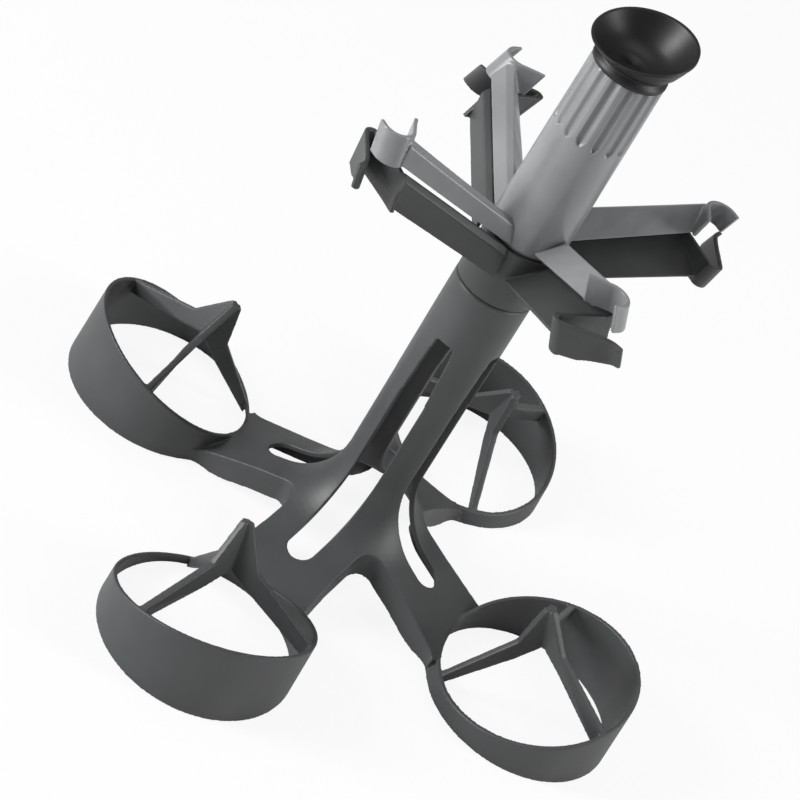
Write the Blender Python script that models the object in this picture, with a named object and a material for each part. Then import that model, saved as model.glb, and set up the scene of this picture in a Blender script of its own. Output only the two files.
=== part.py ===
"""Twist-clamp rack for four stemmed glasses: four ringed feet, a slotted column and a turning clip head.

Metres, +Z up along the column. The origin is on the floor, on the column's axis.
"""
import math

import bmesh
import bpy
from mathutils import Matrix, Vector

MM = 0.001
GAP = 0.3                       # clearance between touching pieces
STATIONS = 4                    # rings, arms and clips around the column

# Rings
RING_DISTANCE = 102.5           # column axis to ring centre
RING_RADIUS = 42.2
RING_WALL = 1.8
RIM_HEIGHT = 20.5               # rim plane above the floor, at the ring's centre
LEAN_INWARD = math.radians(14.9)
LEAN_CLOCKWISE = math.radians(14.6)

# Tripods in the rings
RIB_ANGLES = (-15, 105, 225)
RIB_THICKNESS = 2.4
RIB_DEPTH = 7.5                 # at the ring's wall
KNEE_REACH = 11.5               # the rib climbs to this knee, then steeply to the peak
KNEE_HEIGHT = 18.5
TRIPOD_HEIGHT = 36.5
TRIPOD_ARCH = 15.5              # underside at the centre, above the rim plane

# Column and feet
COLUMN_RADIUS = 16.9
COLUMN_WALL = 2.8
COLUMN_BOTTOM = 55
SEAM_HEIGHT = 150.8
SLOT_TOP = 124.5
SLOT_TOP_HALF = 4.3
SLOT_HALF = 6.0
SLOT_TAPER_HEIGHT = 92
FLARE_REACH = 30                # how far the flare runs out before it lies flat
FLARE_DROP = 33
ARM_SHELL = 2.6
ARM_HALF = 19
ARM_END = 62
ARM_END_HALF = 21
ARM_END_HEIGHT = 9.6
SKIRT_WALL = 2.2
SKIRT_DEPTH = 12
CROTCH_RADIUS = 9
ARM_SLOT_END = 46

# Clip head
HUB_RADIUS = 16.5
HUB_TOP = 176.3
HUB_BORE = 11.5
SLEEVE_BOTTOM = 177.9
SLEEVE_TOP = 259.5
SLEEVE_FOOT_RADIUS = 16.2
SLEEVE_TOP_RADIUS = 15.3
SLEEVE_WALL = 2.4
FLUTE_BOTTOM = 231
FLUTE_COUNT = 16
FLUTE_DEPTH = 0.8
CLIP_TURN = math.radians(-40)   # clip angle from its ring's angle
ARM_ROOT = 15
ARM_TUCK = -0.12                # the arm starts this far inside, before it is trimmed to the hub

# Spindle and fasteners
SPINDLE_RADIUS = 9.6
SPINDLE_BORE = 5
SPINDLE_TOP = 252
SPINDLE_FLANGE = 13.4
SPINDLE_BOTTOM = 140

# Cup
CUP_RADIUS = 20.2
CUP_RIM_HEIGHT = 273.5
CUP_TILT = math.radians(15.8)
CUP_TILT_DIRECTION = math.radians(-120)


def clear_scene():
    for obj in list(bpy.data.objects):
        bpy.data.objects.remove(obj, do_unlink=True)


def make_material(name, colour, roughness):
    material = bpy.data.materials.new(name)
    material.use_nodes = True
    shader = material.node_tree.nodes["Principled BSDF"]
    shader.inputs["Base Color"].default_value = (*colour, 1)
    shader.inputs["Roughness"].default_value = roughness
    return material


def add_object(name, points, faces, material=None):
    """Make an object from points in millimetres."""
    mesh = bpy.data.meshes.new(name)
    mesh.from_pydata([Vector(p) * MM for p in points], [], faces)
    tidy = bmesh.new()
    tidy.from_mesh(mesh)
    bmesh.ops.recalc_face_normals(tidy, faces=tidy.faces)
    tidy.to_mesh(mesh)
    tidy.free()
    obj = bpy.data.objects.new(name, mesh)
    bpy.context.collection.objects.link(obj)
    if material:
        mesh.materials.append(material)
        mesh.shade_smooth()
        mesh.set_sharp_from_angle(angle=math.radians(35))
    return obj


def loft(name, sections, material=None, closed=False):
    """Join equal closed outlines one after another; cap the ends, or close the loop."""
    count = len(sections[0])
    points = [p for section in sections for p in section]
    faces = []
    last = len(sections) if closed else len(sections) - 1
    for i in range(last):
        a = i * count
        b = ((i + 1) % len(sections)) * count
        for j in range(count):
            k = (j + 1) % count
            faces.append((a + j, a + k, b + k, b + j))
    if not closed:
        faces.append(tuple(range(count)))
        faces.append(tuple(range(len(points) - count, len(points))))
    return add_object(name, points, faces, material)


def revolve(name, outline, steps, material=None, start=0.0, sweep=2 * math.pi):
    """Turn a closed (radius, height) outline about +Z."""
    full = abs(sweep - 2 * math.pi) < 1e-6
    count = steps if full else steps + 1
    sections = []
    for i in range(count):
        angle = start + sweep * i / steps
        sections.append([(r * math.cos(angle), r * math.sin(angle), z) for r, z in outline])
    return loft(name, sections, material, closed=full)


def prism(name, outline, bottom, top, material=None):
    """Stand a closed plan outline up between two heights."""
    return loft(name, [[(x, y, z) for x, y in outline] for z in (bottom, top)], material)


def combine(obj, other, operation):
    """Apply an exact boolean and drop the other object."""
    modifier = obj.modifiers.new("combine", "BOOLEAN")
    modifier.operation = operation
    modifier.solver = "EXACT"
    modifier.object = other
    graph = bpy.context.evaluated_depsgraph_get()
    mesh = bpy.data.meshes.new_from_object(obj.evaluated_get(graph))
    obj.modifiers.clear()
    obj.data = mesh
    bpy.data.objects.remove(other, do_unlink=True)
    return obj


def finish(obj, material):
    """Weld slivers left by booleans and set the material and shading."""
    tidy = bmesh.new()
    tidy.from_mesh(obj.data)
    bmesh.ops.remove_doubles(tidy, verts=tidy.verts, dist=0.02 * MM)
    bmesh.ops.dissolve_limit(tidy, angle_limit=math.radians(0.5), verts=tidy.verts, edges=tidy.edges)
    bmesh.ops.triangulate(tidy, faces=tidy.faces)
    bmesh.ops.recalc_face_normals(tidy, faces=tidy.faces)
    tidy.to_mesh(obj.data)
    tidy.free()
    obj.data.materials.clear()
    obj.data.materials.append(material)
    obj.data.shade_smooth()
    obj.data.set_sharp_from_angle(angle=math.radians(35))
    return obj


def place(obj, angle):
    obj.matrix_world = Matrix.Rotation(angle, 4, "Z") @ obj.matrix_world
    return obj


def arc(centre, radius, start, end, steps):
    """Points on a plan arc, angles in degrees."""
    points = []
    for i in range(steps + 1):
        angle = math.radians(start + (end - start) * i / steps)
        points.append((centre[0] + radius * math.cos(angle), centre[1] + radius * math.sin(angle)))
    return points


# ---- rings and tripods ----------------------------------------------------------------------

def ring_axis():
    """Unit normal of the slanting rim, for the ring on +X."""
    return Vector((-math.tan(LEAN_INWARD), -math.tan(LEAN_CLOCKWISE), 1)).normalized()


def rim_frame():
    """Two directions in the rim plane: one outward, one counter-clockwise."""
    axis = ring_axis()
    outward = (Vector((1, 0, 0)) - axis * axis.x).normalized()
    return outward, axis.cross(outward), axis


def build_ring(name, angle, material):
    steps = 56
    outward, along, _ = rim_frame()
    centre = Vector((RING_DISTANCE, 0, RIM_HEIGHT))
    sections = []
    for i in range(steps):
        turn = 2 * math.pi * i / steps
        section = []
        for radius, top in ((RING_RADIUS, 0), (RING_RADIUS, 1), (RING_RADIUS - RING_WALL, 1),
                            (RING_RADIUS - RING_WALL, 0)):
            if top:
                point = centre + radius * (math.cos(turn) * outward + math.sin(turn) * along)
            else:
                x = RING_DISTANCE + radius * math.cos(turn)
                point = Vector((x, radius * math.sin(turn), 0))
            section.append(tuple(point))
        sections.append(section)
    return place(loft(name, sections, material, closed=True), angle)


def build_tripod(name, angle, material):
    """Three upright ribs meeting in a peak, cast as one body."""
    outward, along, axis = rim_frame()
    centre = Vector((RING_DISTANCE, 0, RIM_HEIGHT))
    reach = RING_RADIUS - RING_WALL - 1.6
    half = RIB_THICKNESS / 2
    knee_base = TRIPOD_ARCH - (TRIPOD_ARCH + RIB_DEPTH) * KNEE_REACH / reach
    stations = [(half / math.sqrt(3), TRIPOD_ARCH, TRIPOD_HEIGHT), (2.4, TRIPOD_ARCH - 1, TRIPOD_HEIGHT),
                (4.0, TRIPOD_ARCH - 2, TRIPOD_HEIGHT - 3), (KNEE_REACH, knee_base, KNEE_HEIGHT),
                (reach, -RIB_DEPTH, -0.6)]
    points = []
    faces = [(0, 20, 40), (3, 23, 43)]
    for number, degrees in enumerate(RIB_ANGLES):
        turn = math.radians(degrees)
        run = math.cos(turn) * outward + math.sin(turn) * along
        side = axis.cross(run)
        first = 20 * number
        for reach_out, low, top in stations:
            for across, height in ((half, top), (-half, top), (-half, low), (half, low)):
                point = centre + reach_out * run + height * axis + across * side
                if reach_out == reach and height == low:
                    point = centre + reach_out * run + across * side
                    point.z = max(point.z - RIB_DEPTH, 0.3)
                points.append(tuple(point))
        for k in range(len(stations) - 1):
            for j in range(4):
                a = first + 4 * k + j
                b = first + 4 * k + (j + 1) % 4
                faces.append((a, b, b + 4, a + 4))
        faces.append(tuple(range(first + 16, first + 20)))
    tripod = add_object(name, points, faces)
    return place(finish(tripod, material), angle)


# ---- feet ------------------------------------------------------------------------------------

def flare_profile():
    """Outer (radius, height) line: down the column, round the flare and straight out to a ring."""
    points = [(COLUMN_RADIUS, COLUMN_BOTTOM - GAP)]
    start = RIM_HEIGHT + 32
    for i in range(8):
        turn = math.radians(70 * i / 7)
        points.append((COLUMN_RADIUS + FLARE_REACH * (1 - math.cos(turn)),
                       start - FLARE_DROP * math.sin(turn)))
    last_radius, last_height = points[-1]
    for i in range(1, 4):
        t = i / 3
        points.append((last_radius + t * (72 - last_radius),
                       last_height + t * (ARM_END_HEIGHT - 3.4 - last_height)))
    return points


def offset_inward(points, distance):
    """Shift a (radius, height) line to its inner, lower side."""
    shifted = []
    for i, (r, z) in enumerate(points):
        before = Vector(points[max(i - 1, 0)])
        after = Vector(points[min(i + 1, len(points) - 1)])
        run = (after - before).normalized()
        shifted.append((r + run.y * distance, z - run.x * distance))
    return shifted


def arm_outline(inset):
    """Plan outline of one foot between its two 45-degree parting planes."""
    radius = CROTCH_RADIUS + inset
    centre = (ARM_HALF + CROTCH_RADIUS, ARM_HALF + CROTCH_RADIUS)
    side = arc(centre, radius, 225, 270, 6)
    side += [(ARM_END - 6, ARM_END_HALF - 0.4 - inset), (ARM_END + 2, ARM_END_HALF + 0.8 - inset),
             (ARM_END + 5.5, ARM_END_HALF + 3.2 - inset), (ARM_END + 9, ARM_END_HALF + 8 - inset),
             (ARM_END + 14, ARM_END_HALF + 8 - inset)]
    near = 7
    upper = [(near, near)] + side
    shift = GAP / 2 * math.sqrt(2)
    if inset:
        upper = [(near, near + 30), (side[0][0] - 8, side[0][1] + 8)] + side
        shift = 0
    return [(x + shift / 2, -y + shift / 2) for x, y in upper] + [(x + shift / 2, y - shift / 2)
                                                                  for x, y in reversed(upper)]


def arm_slot_outline():
    end = ARM_SLOT_END - SLOT_HALF
    return [(6, -SLOT_HALF)] + arc((end, 0), SLOT_HALF, -90, 90, 8) + [(6, SLOT_HALF)]


def build_foot_arm(name, angle, material):
    profile = flare_profile()
    half = math.radians(52)
    shell = revolve(name, profile + offset_inward(profile, ARM_SHELL)[::-1], 16, None, -half, 2 * half)
    combine(shell, prism("plan", arm_outline(0), -5, 80), "INTERSECT")

    skirt_line = [p for p in profile if p[0] > 25]
    low_line = [(r, max(z - SKIRT_DEPTH, 0.4)) for r, z in skirt_line]
    high_line = [(r, z - 0.4) for r, z in skirt_line]
    skirt = revolve("skirt", high_line + low_line[::-1], 16, None, -half, 2 * half)
    combine(skirt, prism("plan", arm_outline(0), -5, 80), "INTERSECT")
    combine(skirt, prism("inner plan", arm_outline(SKIRT_WALL), -5, 80), "DIFFERENCE")
    combine(shell, skirt, "UNION")

    combine(shell, prism("slot", arm_slot_outline(), -5, 80), "DIFFERENCE")
    combine(shell, build_ring_clearance(), "DIFFERENCE")
    return place(finish(shell, material), angle)


def build_ring_clearance():
    """A slightly fat copy of the ring's outer wall, capped, to trim the arm against."""
    steps = 72
    outward, along, _ = rim_frame()
    centre = Vector((RING_DISTANCE, 0, RIM_HEIGHT))
    radius = RING_RADIUS + GAP
    floor_loop = []
    rim_loop = []
    for i in range(steps):
        turn = 2 * math.pi * i / steps
        flat = Vector((RING_DISTANCE + radius * math.cos(turn), radius * math.sin(turn), 0))
        rim = centre + radius * (math.cos(turn) * outward + math.sin(turn) * along)
        floor_loop.append(tuple(flat - 10 * Vector((0, 0, 1))))
        rim_loop.append(tuple(rim))
    top_loop = [(x, y, z + 60) for x, y, z in rim_loop]
    middle = [(x, y, 0) for x, y, z in floor_loop]
    return loft("ring clearance", [floor_loop, middle, rim_loop, top_loop])


# ---- column ----------------------------------------------------------------------------------

def build_column(material):
    inner = COLUMN_RADIUS - COLUMN_WALL
    outline = [(COLUMN_RADIUS, COLUMN_BOTTOM), (COLUMN_RADIUS, SEAM_HEIGHT - GAP),
               (inner, SEAM_HEIGHT - GAP), (inner, COLUMN_BOTTOM)]
    column = revolve("column", outline, 48)
    face = [(-SLOT_HALF, COLUMN_BOTTOM - 2), (SLOT_HALF, COLUMN_BOTTOM - 2), (SLOT_HALF, SLOT_TAPER_HEIGHT),
            (SLOT_TOP_HALF, SLOT_TOP - 1), (SLOT_TOP_HALF - 1, SLOT_TOP), (1 - SLOT_TOP_HALF, SLOT_TOP),
            (-SLOT_TOP_HALF, SLOT_TOP - 1), (-SLOT_HALF, SLOT_TAPER_HEIGHT)]
    for i in range(2):
        cutter = loft("slot", [[(x, y, z) for y, z in face] for x in (-30, 30)])
        combine(column, place(cutter, i * math.pi / 2), "DIFFERENCE")
    return finish(column, material)


# ---- clip head -------------------------------------------------------------------------------

def stem_point(height, out, along):
    """A point beside the stem line of the glass on the +X ring, at a height."""
    axis = ring_axis()
    centre = Vector((RING_DISTANCE, 0, RIM_HEIGHT)) + axis * ((height - RIM_HEIGHT) / axis.z)
    radial = Vector((centre.x, centre.y, 0)).normalized()
    tangent = Vector((-radial.y, radial.x, 0))
    point = centre + out * radial + along * tangent
    return Vector((point.x, point.y, height))


def wall_sides(path, thickness):
    """Left and right lines of a wall that follows an open plan path."""
    left = []
    right = []
    for i, point in enumerate(path):
        here = Vector(point)
        before = (here - Vector(path[i - 1])).normalized() if i else None
        after = (Vector(path[i + 1]) - here).normalized() if i < len(path) - 1 else None
        run = (before + after).normalized() if before and after else (before or after)
        stretch = thickness / 2 / max(run.dot(before or after), 0.5)
        normal = Vector((-run.y, run.x))
        left.append(tuple(here + normal * stretch))
        right.append(tuple(here - normal * stretch))
    return left, right


def build_jaw(name, angle, path, thickness, bottoms, top, material):
    """A bent strip along a plan path, leaning with the stem line; its lower edge may slope."""
    left, right = wall_sides(path, thickness)
    sections = []
    for (a, b, low) in zip(left, right, bottoms):
        sections.append([tuple(stem_point(low, *a)), tuple(stem_point(top, *a)),
                         tuple(stem_point(top, *b)), tuple(stem_point(low, *b))])
    return place(loft(name, sections, material), angle)


def upper_jaw_path():
    """C hook, mouth clockwise: inner lip, round back, short outer lip (out, along)."""
    return [(-8.6, -6.8), (-6.9, -2.2)] + [(x, y + 0.6) for x, y in arc((0, 0), 6.3, 172, 8, 12)] + [(6.9, -0.4)]


def lower_jaw_path():
    """V jaw, mouth counter-clockwise: inner leg, tight bend, outer leg with a flared tip."""
    return ([(-7.0, 5.6), (-5.2, -8)] + arc((-0.9, -18.8), 2.6, 168, 345, 6)
            + [(4.2, -9), (6.6, -1), (11.2, 3.4)])


def arm_section(x, outer, wall):
    """Arched section of a clip arm from its outer (offset, height) line, open below."""
    _, right = wall_sides(outer, wall * 2)
    return [(x(y), y, z) for y, z in outer] + [(x(y), y, z) for y, z in reversed(right)]


def build_clip_arm(name, angle, root, tip, tip_x, wall, clear_radius, material):
    """Arm lofted from its section near the hub to its section at the jaw, trimmed to the round hub."""
    sections = []
    for t in (ARM_TUCK, 0, 0.5, 1):
        outer = [tuple(p + (q - p) * t for p, q in zip(a, b)) for a, b in zip(root, tip)]
        sections.append(arm_section(lambda y, t=t: ARM_ROOT + (tip_x(y) - ARM_ROOT) * t, outer, wall))
    arm = loft(name, sections)
    arm.matrix_world = Matrix.Rotation(CLIP_TURN, 4, "Z")
    bpy.context.view_layer.update()
    core = revolve("core", [(0.01, 140), (clear_radius, 140), (clear_radius, 230), (0.01, 230)], 48)
    combine(arm, core, "DIFFERENCE")
    return place(finish(arm, material), angle)


def lower_arm_lines():
    """Outer lines of a dark arm at its root and at its tip."""
    root = [(12.1, 164.7), (11.7, 174.6), (10.6, 175.6), (-7, 162.8)]
    tip = [(6.8, 181.6), (7.4, 193.4), (6.2, 194.4), (-13.2, 183.5)]
    return root, tip


def upper_arm_lines():
    """Outer lines of a pale arm at its root and at its tip."""
    root = [(10, 179.3), (8.0, 185.4), (7.0, 186), (-2, 178.6)]
    tip = [(5.6, 199.2), (2.9, 205.8), (2.0, 206.4), (-3.4, 197.8)]
    return root, tip


def build_hub(material):
    outline = [(HUB_RADIUS + 0.4, SEAM_HEIGHT), (HUB_RADIUS, SEAM_HEIGHT + 12), (HUB_RADIUS, HUB_TOP),
               (HUB_BORE, HUB_TOP), (HUB_BORE, SEAM_HEIGHT)]
    return revolve("clip_hub", outline, 40, material)


def sleeve_radius(height):
    t = (height - SLEEVE_BOTTOM) / (SLEEVE_TOP - SLEEVE_BOTTOM)
    return SLEEVE_FOOT_RADIUS + (SLEEVE_TOP_RADIUS - SLEEVE_FOOT_RADIUS) * t


def build_sleeve(material):
    """Tapered grip with finger flutes round its upper part."""
    steps = FLUTE_COUNT * 4
    heights = [SLEEVE_BOTTOM, FLUTE_BOTTOM - 0.5, FLUTE_BOTTOM + 2, SLEEVE_TOP]
    sections = []
    for i in range(steps):
        angle = 2 * math.pi * i / steps
        dip = FLUTE_DEPTH if i % 4 == 0 else 0
        section = []
        for height in heights:
            radius = sleeve_radius(height) - (dip if height > FLUTE_BOTTOM else 0)
            section.append((radius * math.cos(angle), radius * math.sin(angle), height))
        for height in (SLEEVE_TOP, SLEEVE_BOTTOM):
            radius = SLEEVE_TOP_RADIUS - SLEEVE_WALL
            section.append((radius * math.cos(angle), radius * math.sin(angle), height))
        sections.append(section)
    return loft("twist_sleeve", sections, material, closed=True)


def build_spindle(material):
    outline = [(SPINDLE_FLANGE, SPINDLE_BOTTOM), (SPINDLE_FLANGE, SEAM_HEIGHT - 3), (SPINDLE_RADIUS, SEAM_HEIGHT - 3),
               (SPINDLE_RADIUS, SPINDLE_TOP), (SPINDLE_BORE, SPINDLE_TOP), (SPINDLE_BORE, SPINDLE_BOTTOM)]
    return revolve("spindle", outline, 24, material)


def build_thrust_washer(material):
    low = HUB_TOP + GAP
    high = SLEEVE_BOTTOM - GAP
    return revolve("thrust_washer", [(15, low), (15, high), (10.2, high), (10.2, low)], 32, material)


def build_retaining_washer(material):
    low = SPINDLE_TOP + GAP
    return revolve("retaining_washer", [(12.4, low), (12.4, low + 1.5), (3.2, low + 1.5), (3.2, low)], 24, material)


def build_retaining_screw(material):
    low = SPINDLE_TOP + GAP + 1.5 + GAP
    outline = [(0.01, low - 22), (2.6, low - 22), (2.6, low), (5, low), (5, low + 2.4), (0.01, low + 2.4)]
    return revolve("retaining_screw", outline[::-1], 16, material)


def build_cup(material):
    """Soft cup: seat and stepped neck on the sleeve, then a flaring bowl whose rim slants."""
    seat = SLEEVE_TOP + GAP
    outline = [(12.0, seat), (15.4, seat), (15.4, seat + 2), (13.9, seat + 3), (13.9, seat + 4.2),
               (15.6, seat + 5), (17.2, seat + 7), (18.9, seat + 10), (CUP_RADIUS, seat + 13.2),
               (CUP_RADIUS - 1.4, seat + 13.7), (17.2, seat + 10.2), (14, seat + 6.2), (9, seat + 3.6),
               (0.01, seat + 2.4), (0.01, seat + 1.2), (9, seat + 1.2), (12.0, seat + 0.6)]
    steps = 32
    axis = Vector((math.cos(CUP_TILT_DIRECTION), math.sin(CUP_TILT_DIRECTION), 0))
    sections = []
    for i in range(steps):
        angle = 2 * math.pi * i / steps
        section = []
        for radius, height in outline:
            lean = max(0.0, (height - seat - 4) / 9.5)
            x, y = radius * math.cos(angle), radius * math.sin(angle)
            drop = (x * axis.x + y * axis.y) * math.tan(CUP_TILT) * lean
            section.append((x, y, height - drop))
        sections.append(section)
    return loft("rubber_cup", sections, material, closed=True)


def build_all():
    clear_scene()
    frame_grey = make_material("frame_grey", (0.11, 0.115, 0.12), 0.5)
    hub_grey = make_material("hub_grey", (0.09, 0.095, 0.095), 0.5)
    grip_grey = make_material("grip_grey", (0.30, 0.31, 0.32), 0.4)
    rubber = make_material("cup_rubber", (0.015, 0.015, 0.016), 0.5)
    core_grey = make_material("core_plastic", (0.2, 0.2, 0.2), 0.5)
    steel = make_material("fastener_steel", (0.6, 0.6, 0.6), 0.35)

    build_column(frame_grey)
    upper_path = upper_jaw_path()
    lower_path = lower_jaw_path()
    upper_bottoms = [RIM_HEIGHT + 178] * len(upper_path)
    lower_bottoms = [RIM_HEIGHT + 160.5 + 4.5 * max(0, i - 8) / 3 for i in range(len(lower_path))]
    for i in range(STATIONS):
        angle = math.pi / 2 * i
        number = i + 1
        build_foot_arm(f"foot_arm_{number}", angle, frame_grey)
        build_ring(f"ring_{number}", angle, frame_grey)
        build_tripod(f"tripod_{number}", angle, frame_grey)
        build_clip_arm(f"lower_arm_{number}", angle, *lower_arm_lines(), lambda y: 63.4 - 0.19 * (y - 7.2),
                       1.9, HUB_RADIUS + GAP, hub_grey)
        build_jaw(f"lower_jaw_{number}", angle, lower_path, 1.9, lower_bottoms, RIM_HEIGHT + 174.5, hub_grey)
        build_clip_arm(f"upper_arm_{number}", angle, *upper_arm_lines(), lambda y: 61.8 - 0.1 * y,
                       1.6, SLEEVE_FOOT_RADIUS + GAP, grip_grey)
        build_jaw(f"upper_jaw_{number}", angle, upper_path, 1.6, upper_bottoms, RIM_HEIGHT + 189.5, grip_grey)
    build_hub(hub_grey)
    build_sleeve(grip_grey)
    build_cup(rubber)
    build_spindle(core_grey)
    build_thrust_washer(core_grey)
    build_retaining_washer(steel)
    build_retaining_screw(steel)


build_all()
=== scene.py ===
"""Looks of the twist-clamp stemware rack: moulded meshes, plastics, floor, lamps and camera."""
import math

import bmesh
import bpy
from mathutils import Matrix, Vector


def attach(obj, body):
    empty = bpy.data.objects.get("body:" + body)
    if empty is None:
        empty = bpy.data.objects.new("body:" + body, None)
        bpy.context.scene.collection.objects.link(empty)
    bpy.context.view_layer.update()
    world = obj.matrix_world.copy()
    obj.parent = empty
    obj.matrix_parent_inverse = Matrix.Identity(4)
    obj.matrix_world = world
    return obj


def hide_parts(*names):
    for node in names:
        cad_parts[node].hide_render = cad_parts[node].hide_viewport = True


MM = 0.001
STATIONS = 4

# Sizes in millimetres. RIB_ANGLES and FLARE_TURN are in degrees, the other angles in radians.
RING_DISTANCE = 102.5
RING_RADIUS = 42.2
RING_WALL = 1.9
RIM_HEIGHT = 20.5
LEAN_INWARD = math.radians(14.9)
LEAN_CLOCKWISE = math.radians(14.6)
RIB_ANGLES = (-15, 105, 225)
RIB_THICKNESS = 3.1
RIB_DEPTH = 7.5
KNEE_REACH = 11.5
KNEE_HEIGHT = 18.5
TRIPOD_HEIGHT = 36.5
TRIPOD_ARCH = 15.5
RING_STEPS = 128
COLUMN_RADIUS = 16.9
COLUMN_WALL = 2.8
COLUMN_BOTTOM = 53
SEAM_HEIGHT = 150.7
SLOT_TOP = 124.5
SLOT_TOP_HALF = 4.3
SLOT_HALF = 6.0
SLOT_CORNER = 2
SLOT_TAPER_HEIGHT = 92
FLARE_JOIN = 57
FLARE_RISE = 32
FLARE_TURN = 70
FLARE_STEPS = 14
FLARE_REACH = 30
FLARE_DROP = 33
FOOT_LINE_END = 72
FOOT_LINE_DROP = 3.4
FOOT_LINE_STEPS = 6
FOOT_HALF_SWEEP = math.radians(52)
FOOT_STEPS = 40
ARM_SHELL = 2.6
ARM_HALF = 19
ARM_END = 62
ARM_END_HALF = 21
ARM_END_HEIGHT = 9.6
SKIRT_WALL = 2.2
SKIRT_DEPTH = 12
SKIRT_START = 24
SKIRT_OVERLAP = 0.4
CROTCH_RADIUS = 9
ARM_SLOT_END = 46
CUT_BOTTOM = -5
CUT_TOP = 80
HUB_RADIUS = 16.5
HUB_TOP = 176.3
HUB_BORE = 11.5
JAW_LEVELS = 5
UPPER_JAW_BOTTOM = 178
UPPER_JAW_TOP = 189.5
UPPER_JAW_WALL = 1.6
UPPER_JAW_RADIUS = 6.3
LOWER_JAW_BOTTOM = 160.5
LOWER_JAW_RISE = 5.5
LOWER_JAW_TOP = 174.5
LOWER_JAW_WALL = 1.9
UPPER_ARM_WALL = 1.7
LOWER_ARM_WALL = 1.9
ARM_STATIONS = (-0.06, 0, 0.25, 0.5, 0.75, 1)
SLEEVE_BOTTOM = 177.9
SLEEVE_TOP = 259.5
SLEEVE_FOOT_RADIUS = 16.2
SLEEVE_TOP_RADIUS = 15.3
SLEEVE_WALL = 2.4
FLUTE_BOTTOM = 231
FLUTE_COUNT = 16
FLUTE_DEPTH = 1.25
FLUTE_STEPS = 12
FLUTE_HALF_WIDTH = 0.62
CLIP_TURN = math.radians(-40)
ARM_ROOT = 15
CUP_RADIUS = 20.2
CUP_TILT = math.radians(15.8)
CUP_TILT_DIRECTION = math.radians(-120)
CUP_GAP = 0.3
CUP_NECK = 4
CUP_BOWL = 9.5
CUP_STEPS = 96

# Voxel size in millimetres and rounds of smoothing for each fused moulding
FRAME_FUSE = (0.45, 6)
HUB_FUSE = (0.4, 4)
HOOKS_FUSE = (0.33, 4)

# Darker and lighter tint of each plastic
FRAME_TINTS = ((0.054, 0.056, 0.058), (0.070, 0.072, 0.074))
HUB_TINTS = ((0.046, 0.049, 0.048), (0.060, 0.063, 0.062))
GRIP_TINTS = ((0.215, 0.22, 0.227), (0.27, 0.276, 0.283))
RUBBER_TINTS = ((0.007, 0.007, 0.008), (0.011, 0.011, 0.012))
CORE_TINTS = ((0.16, 0.16, 0.16), (0.2, 0.2, 0.2))
STEEL_TINTS = ((0.5, 0.5, 0.5), (0.6, 0.6, 0.6))

# Lamps: name, position, aim, size in metres, power in watts
LAMPS = (
    ("key", (-1.2, -1.0, 0.75), (0, 0, 0.1), (0.45, 0.9), 29),
    ("top", (-0.1, 0.3, 1.5), (0, 0, 0.1), (0.8, 0.8), 2.5),
    ("edge", (1.1, 0.35, 0.7), (0, 0, 0.15), (0.2, 0.9), 9),
)
WORLD_LIGHT = 0.24
FLOOR_HALF = 3000
FLOOR_DEPTH = 0.0002
FLOOR_COLOUR = (0.93, 0.93, 0.93)
FLOOR_LIFT = 0.89

# Camera, from the aim point on the object
CAMERA_AIM = (-15.2, 24.5, 60.9)
CAMERA_DISTANCE = 1143.1
CAMERA_AZIMUTH = math.radians(-74.47)
CAMERA_ELEVATION = math.radians(34.416)
CAMERA_ROLL = math.radians(31.576)
CAMERA_LENS = 122.87
CAMERA_SENSOR = 36
CAMERA_NEAR = 0.05


# ---- mesh tools ------------------------------------------------------------------------------

def add_object(name, points, faces):
    """Make an object from points in millimetres."""
    mesh = bpy.data.meshes.new(name)
    mesh.from_pydata([Vector(p) * MM for p in points], [], faces)
    tidy = bmesh.new()
    tidy.from_mesh(mesh)
    bmesh.ops.recalc_face_normals(tidy, faces=tidy.faces)
    tidy.to_mesh(mesh)
    tidy.free()
    obj = bpy.data.objects.new(name, mesh)
    bpy.context.collection.objects.link(obj)
    return obj


def loft(name, sections, closed=False):
    """Skin over equal closed sections, with end caps unless it closes on itself."""
    count = len(sections[0])
    points = [p for section in sections for p in section]
    faces = []
    last = len(sections) if closed else len(sections) - 1
    for i in range(last):
        a = i * count
        b = ((i + 1) % len(sections)) * count
        for j in range(count):
            k = (j + 1) % count
            faces.append((a + j, a + k, b + k, b + j))
    if not closed:
        faces.append(tuple(range(count)))
        faces.append(tuple(range(len(points) - count, len(points))))
    return add_object(name, points, faces)


def revolve(name, outline, steps, start=0.0, sweep=2 * math.pi):
    """Turn a closed (radius, height) outline about Z, all round or through a part turn."""
    full = abs(sweep - 2 * math.pi) < 1e-6
    count = steps if full else steps + 1
    sections = []
    for i in range(count):
        angle = start + sweep * i / steps
        sections.append([(r * math.cos(angle), r * math.sin(angle), z) for r, z in outline])
    return loft(name, sections, closed=full)


def prism(name, outline, bottom, top):
    return loft(name, [[(x, y, z) for x, y in outline] for z in (bottom, top)])


def bake(obj):
    """Replace an object's mesh by its evaluated one."""
    graph = bpy.context.evaluated_depsgraph_get()
    mesh = bpy.data.meshes.new_from_object(obj.evaluated_get(graph))
    obj.modifiers.clear()
    obj.data = mesh
    return obj


def combine(obj, other, operation):
    modifier = obj.modifiers.new("combine", "BOOLEAN")
    modifier.operation = operation
    modifier.solver = "EXACT"
    modifier.object = other
    bake(obj)
    bpy.data.objects.remove(other, do_unlink=True)
    return obj


def place(obj, angle):
    obj.matrix_world = Matrix.Rotation(angle, 4, "Z") @ obj.matrix_world
    return obj


def rotated_copies(obj, count):
    copies = [obj]
    for i in range(1, count):
        copy = obj.copy()
        bpy.context.collection.objects.link(copy)
        place(copy, 2 * math.pi * i / count)
        copies.append(copy)
    return copies


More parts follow.
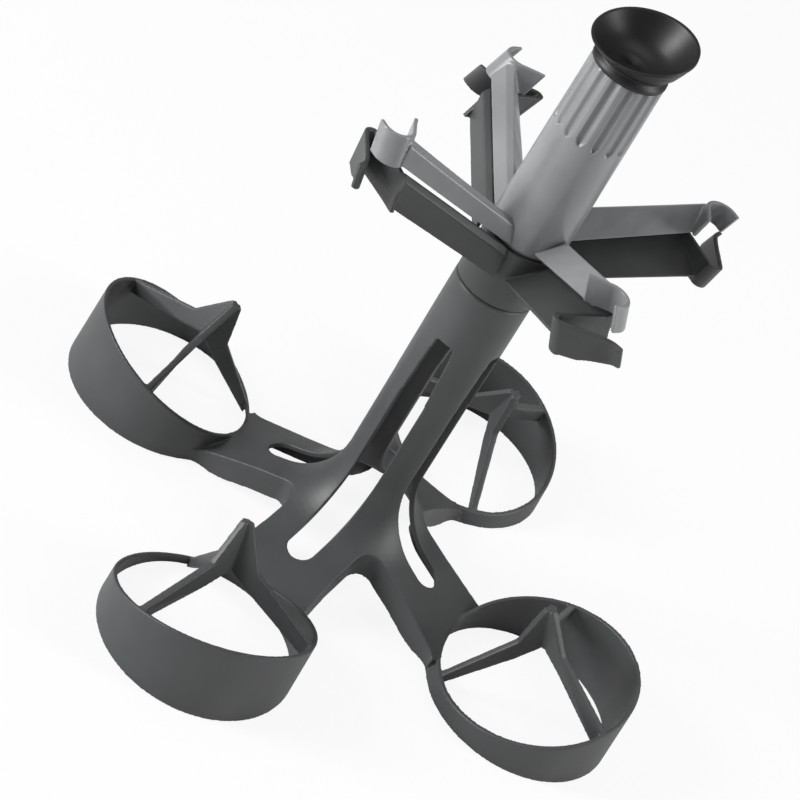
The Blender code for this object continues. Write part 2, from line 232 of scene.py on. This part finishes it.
def gather(name, parts):
    """Put several objects' meshes into one new object at the origin."""
    bpy.context.view_layer.update()
    joined = bmesh.new()
    for part in parts:
        mesh = part.data.copy()
        mesh.transform(part.matrix_world)
        joined.from_mesh(mesh)
        bpy.data.meshes.remove(mesh)
    mesh = bpy.data.meshes.new(name)
    joined.to_mesh(mesh)
    joined.free()
    obj = bpy.data.objects.new(name, mesh)
    bpy.context.collection.objects.link(obj)
    for part in parts:
        bpy.data.objects.remove(part, do_unlink=True)
    return obj


def mould(obj, voxel, rounds):
    """Fuse overlapping solids into one skin with softly rounded edges, as in a moulding."""
    remesh = obj.modifiers.new("fuse", "REMESH")
    remesh.mode = "VOXEL"
    remesh.voxel_size = voxel * MM
    smooth = obj.modifiers.new("soften", "SMOOTH")
    smooth.factor = 0.5
    smooth.iterations = rounds
    bake(obj)
    obj.data.shade_smooth()
    return obj


def arc(centre, radius, start, end, steps):
    points = []
    for i in range(steps + 1):
        angle = math.radians(start + (end - start) * i / steps)
        points.append((centre[0] + radius * math.cos(angle), centre[1] + radius * math.sin(angle)))
    return points


def wall_sides(path, thickness):
    """Left and right edge of a wall of even thickness along a plan path."""
    left = []
    right = []
    for i, point in enumerate(path):
        here = Vector(point)
        before = (here - Vector(path[i - 1])).normalized() if i else None
        after = (Vector(path[i + 1]) - here).normalized() if i < len(path) - 1 else None
        run = (before + after).normalized() if before and after else (before or after)
        stretch = thickness / 2 / max(run.dot(before or after), 0.5)
        normal = Vector((-run.y, run.x))
        left.append(tuple(here + normal * stretch))
        right.append(tuple(here - normal * stretch))
    return left, right


def curve_through(points, steps):
    """Smooth plan line through the given points."""
    line = []
    count = len(points)
    for i in range(count - 1):
        a = Vector(points[max(i - 1, 0)])
        b = Vector(points[i])
        c = Vector(points[i + 1])
        d = Vector(points[min(i + 2, count - 1)])
        for k in range(steps):
            t = k / steps
            p = 0.5 * (2 * b + (c - a) * t + (2 * a - 5 * b + 4 * c - d) * t * t
                       + (3 * b - a - 3 * c + d) * t ** 3)
            line.append(tuple(p))
    line.append(tuple(points[-1]))
    return line


# ---- rings and tripods -------------------------------------------------------------------------

def ring_axis():
    return Vector((-math.tan(LEAN_INWARD), -math.tan(LEAN_CLOCKWISE), 1)).normalized()


def rim_frame():
    axis = ring_axis()
    outward = (Vector((1, 0, 0)) - axis * axis.x).normalized()
    return outward, axis.cross(outward), axis


def build_ring():
    """Ring with a slanting rim and a level lower edge."""
    outward, along, _ = rim_frame()
    centre = Vector((RING_DISTANCE, 0, RIM_HEIGHT))
    sections = []
    for i in range(RING_STEPS):
        turn = 2 * math.pi * i / RING_STEPS
        section = []
        for radius, top in ((RING_RADIUS, 0), (RING_RADIUS, 1), (RING_RADIUS - RING_WALL, 1),
                            (RING_RADIUS - RING_WALL, 0)):
            if top:
                point = centre + radius * (math.cos(turn) * outward + math.sin(turn) * along)
            else:
                point = Vector((RING_DISTANCE + radius * math.cos(turn), radius * math.sin(turn), 0))
            section.append(tuple(point))
        sections.append(section)
    return loft("ring", sections, closed=True)


def build_tripod():
    """Three ribs that climb from the ring wall over a knee to a shared peak."""
    outward, along, axis = rim_frame()
    centre = Vector((RING_DISTANCE, 0, RIM_HEIGHT))
    reach = RING_RADIUS - RING_WALL / 2
    half = RIB_THICKNESS / 2
    knee_base = TRIPOD_ARCH - (TRIPOD_ARCH + RIB_DEPTH) * KNEE_REACH / reach
    stations = [(half / math.sqrt(3), TRIPOD_ARCH, TRIPOD_HEIGHT), (2.4, TRIPOD_ARCH - 1, TRIPOD_HEIGHT),
                (4.0, TRIPOD_ARCH - 2, TRIPOD_HEIGHT - 3), (KNEE_REACH, knee_base, KNEE_HEIGHT),
                (reach, -RIB_DEPTH, -0.2)]
    rib_points = 4 * len(stations)
    points = []
    faces = [(0, rib_points, 2 * rib_points), (3, rib_points + 3, 2 * rib_points + 3)]
    for number, degrees in enumerate(RIB_ANGLES):
        turn = math.radians(degrees)
        run = math.cos(turn) * outward + math.sin(turn) * along
        side = axis.cross(run)
        first = rib_points * number
        for reach_out, low, top in stations:
            for across, height in ((half, top), (-half, top), (-half, low), (half, low)):
                point = centre + reach_out * run + height * axis + across * side
                if reach_out == reach and height == low:
                    point = centre + reach_out * run + across * side
                    point.z = max(point.z - RIB_DEPTH, 0.3)
                points.append(tuple(point))
        for k in range(len(stations) - 1):
            for j in range(4):
                a = first + 4 * k + j
                b = first + 4 * k + (j + 1) % 4
                faces.append((a, b, b + 4, a + 4))
        faces.append(tuple(range(first + rib_points - 4, first + rib_points)))
    tripod = add_object("tripod", points, faces)
    weld = bmesh.new()
    weld.from_mesh(tripod.data)
    bmesh.ops.remove_doubles(weld, verts=weld.verts, dist=0.01 * MM)
    bmesh.ops.recalc_face_normals(weld, faces=weld.faces)
    weld.to_mesh(tripod.data)
    weld.free()
    return tripod


# ---- feet and column ---------------------------------------------------------------------------

def flare_profile():
    """Outer (radius, height) line: down the column, round the flare and straight out to a ring."""
    points = [(COLUMN_RADIUS, FLARE_JOIN)]
    start = RIM_HEIGHT + FLARE_RISE
    for i in range(FLARE_STEPS + 1):
        turn = math.radians(FLARE_TURN * i / FLARE_STEPS)
        points.append((COLUMN_RADIUS + FLARE_REACH * (1 - math.cos(turn)),
                       start - FLARE_DROP * math.sin(turn)))
    last_radius, last_height = points[-1]
    for i in range(1, FOOT_LINE_STEPS + 1):
        t = i / FOOT_LINE_STEPS
        points.append((last_radius + t * (FOOT_LINE_END - last_radius),
                       last_height + t * (ARM_END_HEIGHT - FOOT_LINE_DROP - last_height)))
    return points


def offset_inward(points, distance):
    """Shift a (radius, height) line to the side of the column's axis."""
    shifted = []
    for i, (r, z) in enumerate(points):
        before = Vector(points[max(i - 1, 0)])
        after = Vector(points[min(i + 1, len(points) - 1)])
        run = (after - before).normalized()
        shifted.append((r + run.y * distance, z - run.x * distance))
    return shifted


def arm_outline(inset):
    """Plan of a foot, from the crotch by the column to the fillets at its ring."""
    radius = CROTCH_RADIUS + inset
    centre = (ARM_HALF + CROTCH_RADIUS, ARM_HALF + CROTCH_RADIUS)
    side = arc(centre, radius, 222, 270, 14)
    side += curve_through([(ARM_END - 22, ARM_HALF + 0.2 - inset),
                           (ARM_END - 6, ARM_END_HALF - 0.4 - inset),
                           (ARM_END + 2, ARM_END_HALF + 0.8 - inset),
                           (ARM_END + 5.5, ARM_END_HALF + 3.2 - inset),
                           (ARM_END + 9, ARM_END_HALF + 8 - inset),
                           (ARM_END + 14, ARM_END_HALF + 8 - inset)], 4)
    first = (6, 7) if not inset else (side[0][0] - 8, side[0][1] + 8)
    upper = [first] + side
    if inset:
        upper = [(6, 40)] + upper
    return [(x, -y) for x, y in upper] + [(x, y) for x, y in reversed(upper)]


def arm_slot_outline():
    end = ARM_SLOT_END - SLOT_HALF
    return [(4, -SLOT_HALF)] + arc((end, 0), SLOT_HALF, -90, 90, 20) + [(4, SLOT_HALF)]


def build_ring_core():
    """Fat solid copy of a ring, to trim a foot against."""
    steps = 96
    outward, along, _ = rim_frame()
    centre = Vector((RING_DISTANCE, 0, RIM_HEIGHT))
    radius = RING_RADIUS - RING_WALL / 2
    floor_loop = []
    rim_loop = []
    for i in range(steps):
        turn = 2 * math.pi * i / steps
        floor_loop.append((RING_DISTANCE + radius * math.cos(turn), radius * math.sin(turn), 0))
        rim_loop.append(tuple(centre + radius * (math.cos(turn) * outward + math.sin(turn) * along)))
    low_loop = [(x, y, -10) for x, y, z in floor_loop]
    top_loop = [(x, y, z + 60) for x, y, z in rim_loop]
    return loft("ring core", [low_loop, floor_loop, rim_loop, top_loop])


def foot_cutter(name, outline):
    return prism(name, outline, CUT_BOTTOM, CUT_TOP)


def foot_revolve(name, outline):
    return revolve(name, outline, FOOT_STEPS, -FOOT_HALF_SWEEP, 2 * FOOT_HALF_SWEEP)


def build_foot():
    """Flared shell with a skirt along its edges, a drain slot and an end cut to the ring."""
    profile = flare_profile()
    shell = foot_revolve("foot", profile + offset_inward(profile, ARM_SHELL)[::-1])
    combine(shell, foot_cutter("plan", arm_outline(0)), "INTERSECT")
    skirt_line = [p for p in profile if p[0] > SKIRT_START]
    low_line = [(r, max(z - SKIRT_DEPTH, 0.4)) for r, z in skirt_line]
    high_line = [(r, z - SKIRT_OVERLAP) for r, z in skirt_line]
    skirt = foot_revolve("skirt", high_line + low_line[::-1])
    combine(skirt, foot_cutter("plan", arm_outline(0)), "INTERSECT")
    combine(skirt, foot_cutter("inner plan", arm_outline(SKIRT_WALL)), "DIFFERENCE")
    combine(shell, skirt, "UNION")
    combine(shell, foot_cutter("slot", arm_slot_outline()), "DIFFERENCE")
    combine(shell, build_ring_core(), "DIFFERENCE")
    return shell


def build_column():
    """Tube with four slots, cut by two crossing cutters."""
    inner = COLUMN_RADIUS - COLUMN_WALL
    outline = [(COLUMN_RADIUS, COLUMN_BOTTOM), (COLUMN_RADIUS, SEAM_HEIGHT - 0.8),
               (COLUMN_RADIUS - 0.8, SEAM_HEIGHT), (inner, SEAM_HEIGHT), (inner, COLUMN_BOTTOM)]
    column = revolve("column", outline, RING_STEPS)
    face = [(-SLOT_HALF, 50), (SLOT_HALF, 50), (SLOT_HALF, SLOT_TAPER_HEIGHT),
            *arc((SLOT_TOP_HALF - SLOT_CORNER, SLOT_TOP - SLOT_CORNER), SLOT_CORNER, 0, 90, 5),
            *arc((SLOT_CORNER - SLOT_TOP_HALF, SLOT_TOP - SLOT_CORNER), SLOT_CORNER, 90, 180, 5),
            (-SLOT_HALF, SLOT_TAPER_HEIGHT)]
    for i in range(2):
        cutter = loft("slot", [[(x, y, z) for y, z in face] for x in (-30, 30)])
        combine(column, place(cutter, i * math.pi / 2), "DIFFERENCE")
    return column


def build_frame():
    parts = [build_column()]
    for build in (build_foot, build_ring, build_tripod):
        parts += rotated_copies(build(), STATIONS)
    return mould(gather("frame_moulding", parts), *FRAME_FUSE)


# ---- clip head -----------------------------------------------------------------------------------

def stem_point(height, out, along):
    """Point at a height, measured outward and sideways from a ring's own slanting axis."""
    axis = ring_axis()
    centre = Vector((RING_DISTANCE, 0, RIM_HEIGHT)) + axis * ((height - RIM_HEIGHT) / axis.z)
    radial = Vector((centre.x, centre.y, 0)).normalized()
    tangent = Vector((-radial.y, radial.x, 0))
    point = centre + out * radial + along * tangent
    return Vector((point.x, point.y, height))


def build_jaw(name, path, thickness, bottom_at, top):
    """Strip along a plan path, standing up parallel to the ring's axis."""
    left, right = wall_sides(path, thickness)
    sections = []
    count = len(path) - 1
    for i, (a, b) in enumerate(zip(left, right)):
        low = bottom_at(i / count)
        section = []
        levels = [low + (top - low) * k / (JAW_LEVELS - 1) for k in range(JAW_LEVELS)]
        section += [tuple(stem_point(z, *a)) for z in levels]
        section += [tuple(stem_point(z, *b)) for z in levels[::-1]]
        sections.append(section)
    return loft(name, sections)


def upper_jaw():
    path = [(-8.9, -7.2), (-7.6, -3.6)]
    path += [(x, y + 0.6) for x, y in arc((0, 0), UPPER_JAW_RADIUS, 172, 8, 24)]
    path += [(6.9, -0.4)]
    return build_jaw("hook", path, UPPER_JAW_WALL, lambda t: RIM_HEIGHT + UPPER_JAW_BOTTOM,
                     RIM_HEIGHT + UPPER_JAW_TOP)


def lower_jaw():
    path = [(-7.4, 5.6), (-6.4, -2), (-5.2, -9)] + arc((-0.9, -18.8), 2.6, 168, 345, 12)
    path += curve_through([(3.6, -12), (4.6, -8), (6.4, -2), (8.2, 1.2), (11.2, 3.4)], 4)
    return build_jaw("jaw", path, LOWER_JAW_WALL,
                     lambda t: RIM_HEIGHT + LOWER_JAW_BOTTOM + LOWER_JAW_RISE * max(0.0, t - 0.4) / 0.6,
                     RIM_HEIGHT + LOWER_JAW_TOP)


def build_clip_arm(name, root, tip, tip_x, wall):
    """Angled sheet from four root points to four tip points; tip_x gives the tip's distance out."""
    sections = []
    for t in ARM_STATIONS:
        outer = [tuple(p + (q - p) * t for p, q in zip(a, b)) for a, b in zip(root, tip)]
        _, right = wall_sides(outer, wall * 2)
        line = outer + right[::-1]
        sections.append([(ARM_ROOT + (tip_x(y) - ARM_ROOT) * t, y, z) for y, z in line])
    return place(loft(name, sections), CLIP_TURN)


def lower_arm():
    root = [(12.1, 164.7), (11.7, 174.6), (10.6, 175.6), (-7, 162.8)]
    tip = [(6.8, 181.6), (7.4, 193.4), (6.2, 194.4), (-13.2, 183.5)]
    return build_clip_arm("dark arm", root, tip, lambda y: 65.4 - 0.19 * (y - 7.2), LOWER_ARM_WALL)


def upper_arm():
    root = [(10, 179.3), (8.0, 185.4), (7.0, 186), (-2, 178.6)]
    tip = [(5.6, 199.2), (2.9, 205.8), (2.0, 206.4), (-3.4, 197.8)]
    return build_clip_arm("pale arm", root, tip, lambda y: 66.3 + 0.35 * y, UPPER_ARM_WALL)


def build_hub():
    collar = revolve("collar", [(HUB_RADIUS + 0.4, SEAM_HEIGHT + 0.5), (HUB_RADIUS + 0.2, SEAM_HEIGHT + 6),
                                (HUB_RADIUS, SEAM_HEIGHT + 12), (HUB_RADIUS, HUB_TOP), (HUB_BORE, HUB_TOP),
                                (HUB_BORE, SEAM_HEIGHT + 0.5)], RING_STEPS)
    parts = [collar]
    for build in (lower_arm, lower_jaw):
        parts += rotated_copies(build(), STATIONS)
    return mould(gather("hub_moulding", parts), *HUB_FUSE)


def build_sleeve():
    """Tapered grip with round-bottomed finger flutes in its upper end."""
    steps = FLUTE_COUNT * FLUTE_STEPS
    levels = [SLEEVE_BOTTOM, SLEEVE_BOTTOM + 0.6, 200, 220]
    levels += [FLUTE_BOTTOM - 2 + 0.5 * i for i in range(9)]
    levels += [240, 250, SLEEVE_TOP - 1, SLEEVE_TOP]
    sections = []
    for i in range(steps):
        angle = 2 * math.pi * i / steps
        phase = (i % FLUTE_STEPS) / FLUTE_STEPS * 2 - 1
        section = []
        for z in levels:
            t = (z - SLEEVE_BOTTOM) / (SLEEVE_TOP - SLEEVE_BOTTOM)
            radius = SLEEVE_FOOT_RADIUS + (SLEEVE_TOP_RADIUS - SLEEVE_FOOT_RADIUS) * t
            width = min(1.0, math.sqrt(max(0.0, z - FLUTE_BOTTOM + 1.2) / 2.2)) * FLUTE_HALF_WIDTH
            if width > 0.05 and abs(phase) < width:
                radius -= FLUTE_DEPTH * math.cos(phase / width * math.pi / 2) ** 0.7
            if z in (SLEEVE_BOTTOM, SLEEVE_TOP):
                radius -= 0.4
            section.append((radius * math.cos(angle), radius * math.sin(angle), z))
        for z in (SLEEVE_TOP, SLEEVE_BOTTOM):
            radius = SLEEVE_TOP_RADIUS - SLEEVE_WALL
            section.append((radius * math.cos(angle), radius * math.sin(angle), z))
        sections.append(section)
    sleeve = loft("sleeve", sections, closed=True)
    sleeve.data.shade_smooth()
    sleeve.data.set_sharp_from_angle(angle=math.radians(50))
    return sleeve


def build_hooks():
    parts = []
    for build in (upper_arm, upper_jaw):
        parts += rotated_copies(build(), STATIONS)
    return mould(gather("pale_hooks", parts), *HOOKS_FUSE)


def build_cup():
    """Soft cup on a stepped neck, with a slanting lip."""
    seat = SLEEVE_TOP + CUP_GAP
    profile = [(12.0, seat), (15.4, seat), (15.5, seat + 0.6), (15.4, seat + 2), (14.2, seat + 2.8),
               (13.9, seat + 3.6), (14.6, seat + 4.4), (15.6, seat + 5.2), (17.2, seat + 7),
               (18.9, seat + 10), (19.6, seat + 11.8), (CUP_RADIUS, seat + 12.5), (CUP_RADIUS - 0.2, seat + 13.2),
               (CUP_RADIUS - 0.9, seat + 13.4), (18.8, seat + 12.6), (17.4, seat + 10.2), (14.6, seat + 6.4),
               (11.5, seat + 4.2), (7, seat + 2.9), (0.02, seat + 2.4), (0.02, seat + 1.2), (9, seat + 1.2),
               (12.0, seat + 0.6)]
    axis = Vector((math.cos(CUP_TILT_DIRECTION), math.sin(CUP_TILT_DIRECTION), 0))
    sections = []
    for i in range(CUP_STEPS):
        angle = 2 * math.pi * i / CUP_STEPS
        section = []
        for radius, height in profile:
            lean = max(0.0, (height - seat - CUP_NECK) / CUP_BOWL)
            x, y = radius * math.cos(angle), radius * math.sin(angle)
            drop = (x * axis.x + y * axis.y) * math.tan(CUP_TILT) * lean
            section.append((x, y, height - drop))
        sections.append(section)
    cup = loft("cup", sections, closed=True)
    cup.data.shade_smooth()
    return cup


# ---- materials -----------------------------------------------------------------------------------

def plastic(name, tints, roughness, grain, bump, coat=0.0):
    """Moulded plastic: slight cloudiness in colour, uneven gloss and a fine surface grain."""
    material = bpy.data.materials.new(name)
    material.use_nodes = True
    nodes = material.node_tree.nodes
    links = material.node_tree.links
    dark, light = tints
    shader = nodes["Principled BSDF"]
    shader.inputs["Coat Weight"].default_value = coat
    shader.inputs["Coat Roughness"].default_value = 0.3
    place_node = nodes.new("ShaderNodeTexCoord")

    cloud = nodes.new("ShaderNodeTexNoise")
    cloud.inputs["Scale"].default_value = 38
    cloud.inputs["Detail"].default_value = 5
    tint = nodes.new("ShaderNodeValToRGB")
    tint.color_ramp.elements[0].position = 0.3
    tint.color_ramp.elements[0].color = (*dark, 1)
    tint.color_ramp.elements[1].position = 0.7
    tint.color_ramp.elements[1].color = (*light, 1)
    links.new(place_node.outputs["Object"], cloud.inputs["Vector"])
    links.new(cloud.outputs["Fac"], tint.inputs["Fac"])
    links.new(tint.outputs["Color"], shader.inputs["Base Color"])

    gloss = nodes.new("ShaderNodeMapRange")
    gloss.inputs["To Min"].default_value = roughness - 0.05
    gloss.inputs["To Max"].default_value = roughness + 0.06
    links.new(cloud.outputs["Fac"], gloss.inputs["Value"])
    links.new(gloss.outputs["Result"], shader.inputs["Roughness"])

    fine = nodes.new("ShaderNodeTexNoise")
    fine.inputs["Scale"].default_value = grain
    fine.inputs["Detail"].default_value = 3
    relief = nodes.new("ShaderNodeBump")
    relief.inputs["Strength"].default_value = bump
    relief.inputs["Distance"].default_value = 0.0002
    links.new(place_node.outputs["Object"], fine.inputs["Vector"])
    links.new(fine.outputs["Fac"], relief.inputs["Height"])
    links.new(relief.outputs["Normal"], shader.inputs["Normal"])
    return material


def plain(name, colour, camera_lift):
    """Floor or backdrop: diffuse, lifted towards white for the camera only."""
    material = bpy.data.materials.new(name)
    material.use_nodes = True
    nodes = material.node_tree.nodes
    links = material.node_tree.links
    nodes.clear()
    output = nodes.new("ShaderNodeOutputMaterial")
    diffuse = nodes.new("ShaderNodeBsdfDiffuse")
    diffuse.inputs["Color"].default_value = (*colour, 1)
    white = nodes.new("ShaderNodeEmission")
    white.inputs["Color"].default_value = (1, 1, 1, 1)
    path = nodes.new("ShaderNodeLightPath")
    amount = nodes.new("ShaderNodeMath")
    amount.operation = "MULTIPLY"
    amount.inputs[1].default_value = camera_lift
    blend = nodes.new("ShaderNodeMixShader")
    links.new(path.outputs["Is Camera Ray"], amount.inputs[0])
    links.new(amount.outputs["Value"], blend.inputs["Fac"])
    links.new(diffuse.outputs["BSDF"], blend.inputs[1])
    links.new(white.outputs["Emission"], blend.inputs[2])
    links.new(blend.outputs["Shader"], output.inputs["Surface"])
    return material


def dress(obj, material, body, nodes):
    """Give a piece its material, its body and the CAD nodes that it stands in for."""
    obj.data.materials.clear()
    obj.data.materials.append(material)
    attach(obj, body)
    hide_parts(*nodes)


# ---- stage ---------------------------------------------------------------------------------------

def set_camera():
    aim = Vector(CAMERA_AIM) * MM
    towards = Vector((math.cos(CAMERA_ELEVATION) * math.cos(CAMERA_AZIMUTH),
                      math.cos(CAMERA_ELEVATION) * math.sin(CAMERA_AZIMUTH), math.sin(CAMERA_ELEVATION)))
    camera = bpy.data.objects.new("camera", bpy.data.cameras.new("camera"))
    bpy.context.collection.objects.link(camera)
    level = (-towards).to_track_quat("-Z", "Y").to_matrix().to_4x4()
    roll = Matrix.Rotation(CAMERA_ROLL, 4, "Z")
    camera.matrix_world = Matrix.Translation(aim + towards * CAMERA_DISTANCE * MM) @ level @ roll
    camera.data.lens = CAMERA_LENS
    camera.data.sensor_width = CAMERA_SENSOR
    camera.data.clip_start = CAMERA_NEAR
    bpy.context.scene.camera = camera


def add_lamp(name, position, aim, size, power):
    data = bpy.data.lights.new(name, "AREA")
    data.shape = "RECTANGLE"
    data.size = size[0]
    data.size_y = size[1]
    data.energy = power
    lamp = bpy.data.objects.new(name, data)
    bpy.context.collection.objects.link(lamp)
    lamp.location = position
    lamp.rotation_euler = (Vector(aim) - Vector(position)).to_track_quat("-Z", "Y").to_euler()


def set_world():
    world = bpy.data.worlds.new("studio")
    bpy.context.scene.world = world
    world.use_nodes = True
    nodes = world.node_tree.nodes
    links = world.node_tree.links
    shade = nodes["Background"]
    shade.inputs["Color"].default_value = (1, 1, 1, 1)
    shade.inputs["Strength"].default_value = WORLD_LIGHT
    bright = nodes.new("ShaderNodeBackground")
    bright.inputs["Strength"].default_value = 1
    path = nodes.new("ShaderNodeLightPath")
    blend = nodes.new("ShaderNodeMixShader")
    links.new(path.outputs["Is Camera Ray"], blend.inputs["Fac"])
    links.new(shade.outputs["Background"], blend.inputs[1])
    links.new(bright.outputs["Background"], blend.inputs[2])
    links.new(blend.outputs["Shader"], nodes["World Output"].inputs["Surface"])


def set_stage():
    corners = [(-FLOOR_HALF, -FLOOR_HALF, 0), (FLOOR_HALF, -FLOOR_HALF, 0), (FLOOR_HALF, FLOOR_HALF, 0),
               (-FLOOR_HALF, FLOOR_HALF, 0)]
    floor = add_object("floor", corners, [(0, 1, 2, 3)])
    floor.location.z = -FLOOR_DEPTH
    floor.data.materials.append(plain("floor white", FLOOR_COLOUR, FLOOR_LIFT))
    set_world()
    for lamp in LAMPS:
        add_lamp(*lamp)
    bpy.context.scene.view_settings.view_transform = "Standard"


def numbered(*names):
    return [f"{name}_{i + 1}" for name in names for i in range(STATIONS)]


def main():
    frame_grey = plastic("frame grey plastic", FRAME_TINTS, 0.46, 2600, 0.12)
    hub_grey = plastic("hub charcoal plastic", HUB_TINTS, 0.44, 2600, 0.12)
    grip_grey = plastic("grip grey plastic", GRIP_TINTS, 0.3, 1800, 0.14, 0.25)
    rubber = plastic("cup black rubber", RUBBER_TINTS, 0.46, 1500, 0.12)
    core = plastic("core plastic", CORE_TINTS, 0.5, 2000, 0.1)
    steel = plastic("fastener steel", STEEL_TINTS, 0.35, 900, 0.1)
    steel.node_tree.nodes["Principled BSDF"].inputs["Metallic"].default_value = 1

    dress(build_frame(), frame_grey, "frame",
          ["column"] + numbered("foot_arm", "ring", "tripod"))
    dress(build_hub(), hub_grey, "frame", ["clip_hub"] + numbered("lower_arm", "lower_jaw"))
    dress(build_sleeve(), grip_grey, "grip", ["twist_sleeve"])
    dress(build_hooks(), grip_grey, "grip", numbered("upper_arm", "upper_jaw"))
    dress(build_cup(), rubber, "grip", ["rubber_cup"])
    for name, material in (("spindle", core), ("thrust_washer", core), ("retaining_washer", steel),
                           ("retaining_screw", steel)):
        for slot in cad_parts[name].material_slots:
            slot.material = material
    set_stage()
    set_camera()


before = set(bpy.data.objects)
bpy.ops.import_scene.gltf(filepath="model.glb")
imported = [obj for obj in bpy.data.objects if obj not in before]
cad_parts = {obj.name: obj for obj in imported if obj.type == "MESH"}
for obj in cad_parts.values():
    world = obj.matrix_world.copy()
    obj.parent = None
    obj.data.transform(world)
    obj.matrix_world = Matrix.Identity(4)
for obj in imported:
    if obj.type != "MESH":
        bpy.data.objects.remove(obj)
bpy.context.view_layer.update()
main()
